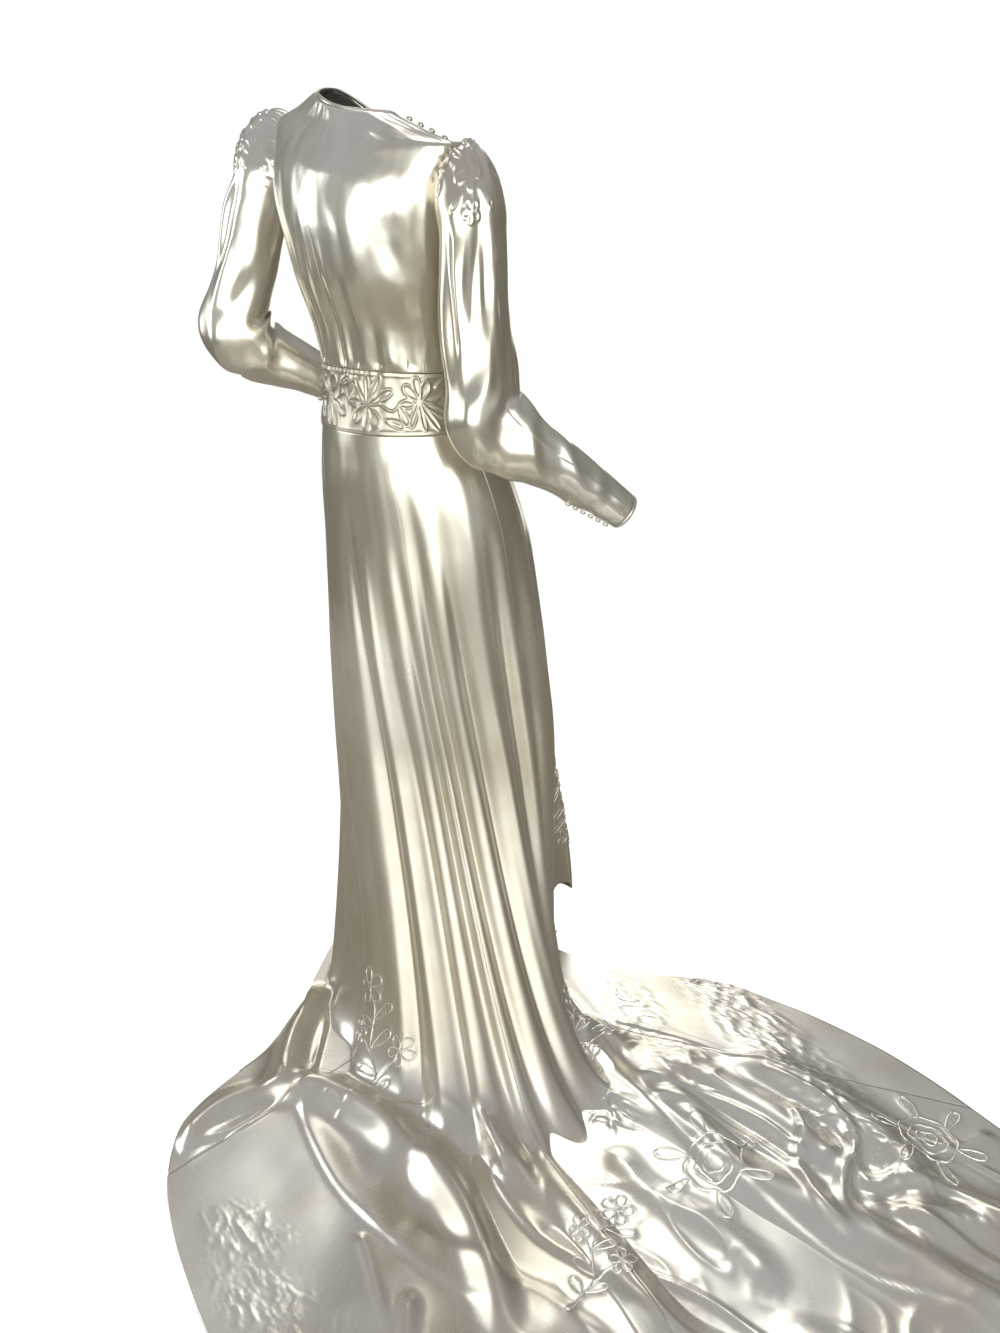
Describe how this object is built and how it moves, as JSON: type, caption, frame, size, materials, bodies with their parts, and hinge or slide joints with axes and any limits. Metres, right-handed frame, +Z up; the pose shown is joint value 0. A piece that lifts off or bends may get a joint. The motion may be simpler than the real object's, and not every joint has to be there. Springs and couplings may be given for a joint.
{
  "type": "wedding dress",
  "caption": "Long-sleeved satin wedding dress with a high round neck, puffed sleeve caps, a raised-work waistband and a long train spread over the floor.",
  "frame": {"origin": "between the shoulders, at the height where the wearer holds the dress up, 1.5 m above the floor", "axes": "+Z up, -Y to the wearer's front, -X to the wearer's right"},
  "size_m": [1.8066, 1.1396, 1.5569],
  "materials": {
    "satin": "glossy ivory satin"
  },
  "bodies": {
    "root": {"bodice_back_left": "satin", "bodice_back_right": "satin", "bodice_front": "satin", "cuff_left": "satin", "cuff_right": "satin", "neck_binding": "satin", "shoulder_button_1": "satin", "shoulder_button_2": "satin", "shoulder_button_3": "satin", "shoulder_button_4": "satin", "shoulder_button_5": "satin", "skirt_back_centre": "satin", "skirt_back_left": "satin", "skirt_back_right": "satin", "skirt_front": "satin", "skirt_side_left": "satin", "skirt_side_right": "satin", "sleeve_lower_left": "satin", "sleeve_lower_right": "satin", "sleeve_upper_left": "satin", "sleeve_upper_right": "satin", "waistband_back": "satin", "waistband_front": "satin", "wrist_button_left_1": "satin", "wrist_button_left_2": "satin", "wrist_button_left_3": "satin", "wrist_button_left_4": "satin", "wrist_button_left_5": "satin", "wrist_button_left_6": "satin", "wrist_button_right_1": "satin", "wrist_button_right_2": "satin", "wrist_button_right_3": "satin", "wrist_button_right_4": "satin", "wrist_button_right_5": "satin", "wrist_button_right_6": "satin"}
  },
  "joints": []
}
